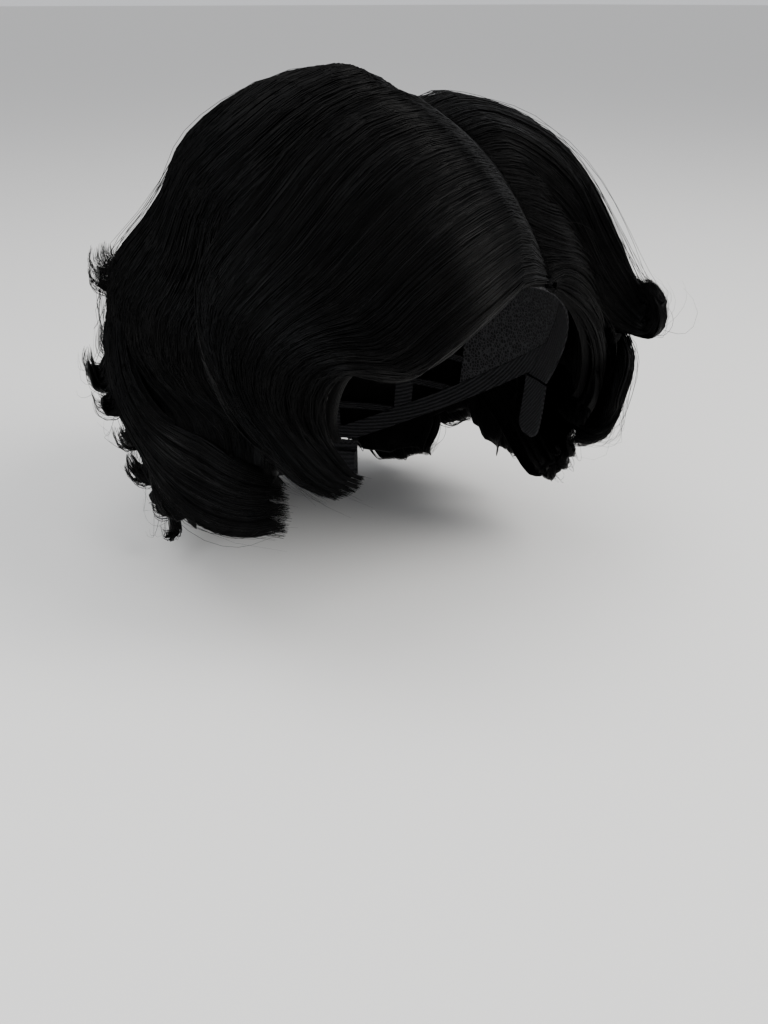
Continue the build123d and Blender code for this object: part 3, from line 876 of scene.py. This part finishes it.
def on_section(angle, offset, level, lift):
    """Place on the head form at a level, on a vertical strip turned by an angle from the back."""
    a = math.radians(angle)
    d, e = np.array([math.sin(a), math.cos(a)]), np.array([math.cos(a), -math.sin(a)])
    size = HEAD[:2] * math.sqrt(1 - (level / HEAD[2]) ** 2)
    p, q = d / size, e * offset / size
    reach = (-p @ q + math.sqrt((p @ q) ** 2 - (p @ p) * (q @ q - 1))) / (p @ p)
    flat = d * reach + e * offset
    foot = np.array([flat[0], flat[1], level])
    normal = foot / HEAD**2
    return foot + normal / np.linalg.norm(normal) * lift


def edge_start(level):
    """How far forward a row of weft may reach at a level: y of the hairline's or the lower edge's line."""
    return max((a + b * level) / c for a, b, c in (HAIRLINE_EDGE, LOWER_EDGE))


def sewing():
    """Threads that can be seen inside the cap: on the ribbons, the nape band and the weft headers."""
    threads, sizes = [], []

    def sew(path, size):
        threads.append(path)
        sizes.append(np.full(len(path), size))

    for angle in RIBBON_ANGLES:
        a = math.radians(angle)
        beside = np.array([math.cos(a), -math.sin(a), 0.0])
        for offset in (-0.0032, 0.0032):
            levels = np.linspace(0.049, -0.044 if abs(angle) < 40 else -0.030, 60)
            line = np.array([on_section(angle, offset, z, -0.00006) for z in levels])
            sew(zigzag(line, STITCH, STITCH_REACH, beside), ZIGZAG_THREAD)
        for level in WEFT_LEVELS:
            if level < -0.035 and abs(angle) > 40:
                continue
            for rise in (0.0008, 0.0022):
                tack = np.array([on_section(angle, x, level + rise, -0.00008) for x in np.linspace(-0.004, 0.004, 8)])
                sew(zigzag(tack, 0.0010, 0.0004, UP), TACK_THREAD)
    for level in BAND_LEVELS:
        line = np.array([neck_point(angle, BAND_INNER - 0.00008, level) for angle in np.linspace(-54, 54, 80)])
        sew(zigzag(line, STITCH, STITCH_REACH, UP), ZIGZAG_THREAD)
    for level in WEFT_LEVELS:
        for rise in (0.0007, 0.0015, 0.0023):
            z = level + rise
            size = (HEAD[:2] + WEFT_OUT) * math.sqrt(1 - (z / (HEAD[2] + WEFT_OUT)) ** 2)
            end = math.acos(np.clip((edge_start(level) + 0.002) / size[1], -1, 1))
            round_head = np.linspace(-end, end, 150)
            wobble = 0.00012 * np.sin(round_head * 160 + rise * 9000)
            sew(np.stack([size[0] * np.sin(round_head), size[1] * np.cos(round_head), z + wobble], axis=1),
                HEADER_THREAD)
    material, shader, place, _ = finish_named("sewing_thread", (0.03, 0.03, 0.033), 0.5, 0.4)
    connect(shader, "Roughness", noise(place, 700.0) * 0.3 + 0.4)
    piece = spun("cap_sewing_threads", threads, sizes, material)


def make_cap():
    finishes = {
        "net": net_finish(),
        "band": tape_finish("elastic_band", 260.0, (0.008, 0.008, 0.009), (0.034, 0.034, 0.037)),
        "header": tape_finish("weft_header", 420.0, (0.004, 0.004, 0.0045), (0.022, 0.022, 0.024)),
        "loops": tape_finish("loop_tape", 340.0, (0.010, 0.010, 0.011), (0.045, 0.045, 0.048)),
        "skin": skin_finish(),
        "hook": moulded_finish("hook_plastic", (0.012, 0.012, 0.013)),
        "stay": moulded_finish("stay_plastic", (0.10, 0.10, 0.105)),
    }
    for node, finish, flat, area in CAP_SHEETS:
        piece = cut_from(node, f"{node}_cloth", finishes[finish], BODY_OF.get(node, ROOT))
    for node, finish in CAP_TAPES:
        cut_from(node, f"{node}_sewn", finishes[finish], BODY_OF.get(node, ROOT))
    for node, finish in FITTINGS:
        for place in bpy.data.objects[node].material_slots:
            place.material = finishes[finish]
    for side in ("left", "right"):
        adjuster_strap(side, finishes["band"])
    sewing()


FLOOR_GAP = 0.0031                            # clears the lowest hairs, which hang below the CAD box


def make_floor():
    low = CAD_BOX[0].z - FLOOR_GAP
    shape = bmesh.new()
    bmesh.ops.create_grid(shape, x_segments=8, y_segments=8, size=40.0)
    bmesh.ops.translate(shape, verts=shape.verts, vec=(0, 0, low))
    mesh = bpy.data.meshes.new("floor")
    shape.to_mesh(mesh)
    shape.free()
    floor = bpy.data.objects.new("floor", mesh)
    bpy.context.scene.collection.objects.link(floor)
    material, shader, place, _ = finish_named("floor_card", (0.74, 0.735, 0.72), 0.85, 0.2)
    connect(shader, "Roughness", noise(place, 20.0) * 0.1 + 0.8)
    mesh.materials.append(material)


make_camera()
make_lights()
make_floor()
make_cap()
make_hair()
